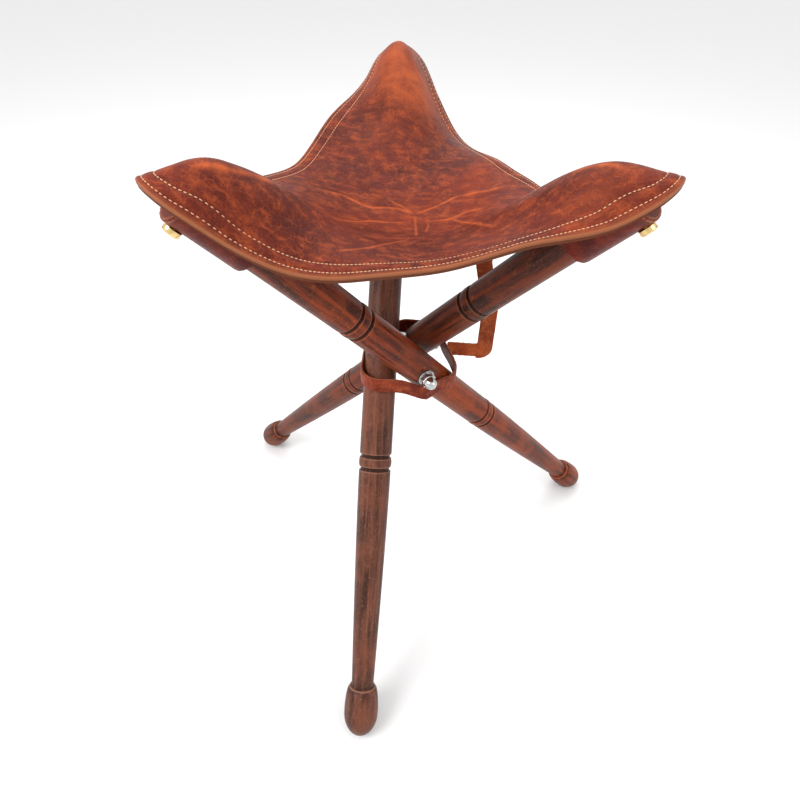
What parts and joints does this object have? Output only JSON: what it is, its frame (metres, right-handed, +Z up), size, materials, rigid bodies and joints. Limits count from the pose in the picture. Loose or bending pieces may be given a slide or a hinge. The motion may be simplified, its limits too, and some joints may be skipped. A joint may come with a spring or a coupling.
{
  "type": "folding tripod stool",
  "caption": "Folding hunting stool: turned legs crossing on a three-way bolt, with a slung leather seat held on the leg ends by corner pockets.",
  "frame": {"origin": "on the floor at the middle of the stool's own bounding box", "axes": "+Z up, the back leg's upper end towards +Y, the front edge of the seat towards -Y, +X to the sitter's left seen from the front"},
  "size_m": [0.4744, 0.4484, 0.5522],
  "materials": {
    "stained_wood": "gloss varnish over red-brown stain",
    "seat_hide": "semi-gloss, waxed, worn",
    "edge_hide": "matt cut edge and flesh side",
    "pocket_hide": "semi-gloss",
    "strap_hide": "satin, pebbled",
    "brass": "polished",
    "bright_steel": "bright zinc or chrome plate"
  },
  "bodies": {
    "crossing": {"main_bolt": "bright_steel", "main_bolt_head_washer": "bright_steel", "main_bolt_nut_washer": "bright_steel", "main_bolt_nut": "bright_steel", "eye_bolt": "bright_steel", "eye_bolt_inner_nut": "bright_steel", "eye_bolt_inner_washer": "bright_steel", "eye_bolt_outer_washer": "bright_steel", "eye_bolt_nut": "bright_steel", "seat_leather": "seat_hide", "seat_edge_band": "edge_hide", "leg_belt": "strap_hide", "strap_tail": "strap_hide"},
    "third_leg": {"leg_left": "stained_wood", "pocket_left": "pocket_hide", "screw_left": "brass"},
    "back_leg": {"leg_back": "stained_wood", "pocket_back": "pocket_hide", "screw_back": "brass"},
    "right_leg": {"leg_right": "stained_wood", "pocket_right": "pocket_hide", "screw_right": "brass"}
  },
  "joints": [
    {"name": "fold", "type": "hinge", "parent": "crossing", "child": "third_leg", "pos_m": [0.00724, 0.00513, 0.31503], "axis": [-0.4997, 0.8654, 0.0356], "range_deg": [0, 58], "deforming": ["seat_leather", "seat_edge_band", "leg_belt", "strap_tail", "pocket_left"]},
    {"name": "back_leg_turn", "type": "hinge", "parent": "crossing", "child": "back_leg", "pos_m": [-0.01475, 0.04321, 0.3166], "axis": [0.7931, 0.4738, -0.3827], "range_deg": [0, 31.3], "deforming": ["pocket_back"]},
    {"name": "right_leg_turn", "type": "hinge", "parent": "crossing", "child": "right_leg", "pos_m": [-0.01475, 0.04321, 0.3166], "axis": [-0.7931, -0.4738, 0.3827], "range_deg": [0, 31.3], "deforming": ["pocket_right"]}
  ],
  "couplings": [
    {"joint": "back_leg_turn", "follows": "fold", "ratio": 0.53904},
    {"joint": "right_leg_turn", "follows": "fold", "ratio": 0.53904}
  ]
}
